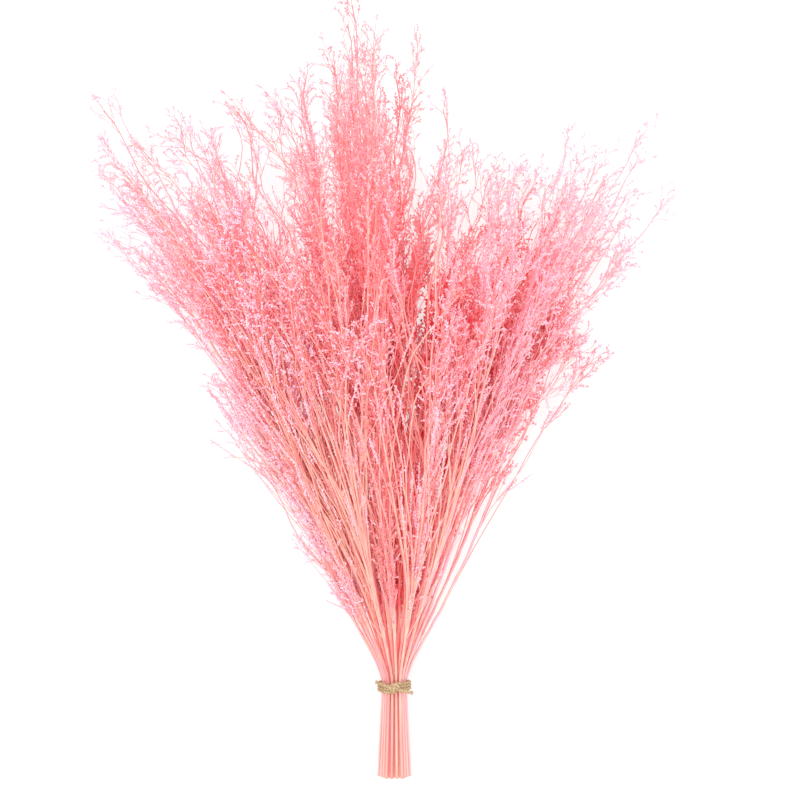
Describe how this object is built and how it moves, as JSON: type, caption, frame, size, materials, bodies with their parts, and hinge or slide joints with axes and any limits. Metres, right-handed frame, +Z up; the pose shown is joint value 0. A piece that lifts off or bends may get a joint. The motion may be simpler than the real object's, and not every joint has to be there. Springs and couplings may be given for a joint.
{
  "type": "dried statice bouquet",
  "caption": "Tied bunch of dyed, dried statice lying on its side: slim stalks fan out above a twine tie into three airy plumes of small florets.",
  "frame": {"origin": "on the surface that the bunch lies on, under the middle of its outline", "axes": "+Y from the cut ends towards the flower tips, +X across the fan, +Z up from the surface"},
  "size_m": [0.3292, 0.4302, 0.1824],
  "materials": {
    "statice": "dry, matte, dyed pink; stems paler and warmer than the florets",
    "twine": "matte twisted natural fibre"
  },
  "bodies": {
    "root": {"stalk_01": "statice", "stalk_02": "statice", "stalk_03": "statice", "stalk_04": "statice", "stalk_05": "statice", "stalk_06": "statice", "stalk_07": "statice", "stalk_08": "statice", "stalk_09": "statice", "stalk_10": "statice", "stalk_11": "statice", "stalk_12": "statice", "stalk_13": "statice", "stalk_14": "statice", "stalk_15": "statice", "stalk_16": "statice", "stalk_17": "statice", "stalk_18": "statice", "stalk_19": "statice", "stalk_20": "statice", "stalk_21": "statice", "stalk_22": "statice", "stalk_23": "statice", "stalk_24": "statice", "stalk_25": "statice", "stalk_26": "statice", "stalk_27": "statice", "stalk_28": "statice", "stalk_29": "statice", "stalk_30": "statice", "stalk_31": "statice", "stalk_32": "statice", "stalk_33": "statice", "stalk_34": "statice", "stalk_35": "statice", "stalk_36": "statice", "stalk_37": "statice", "tie": "twine"}
  },
  "joints": []
}
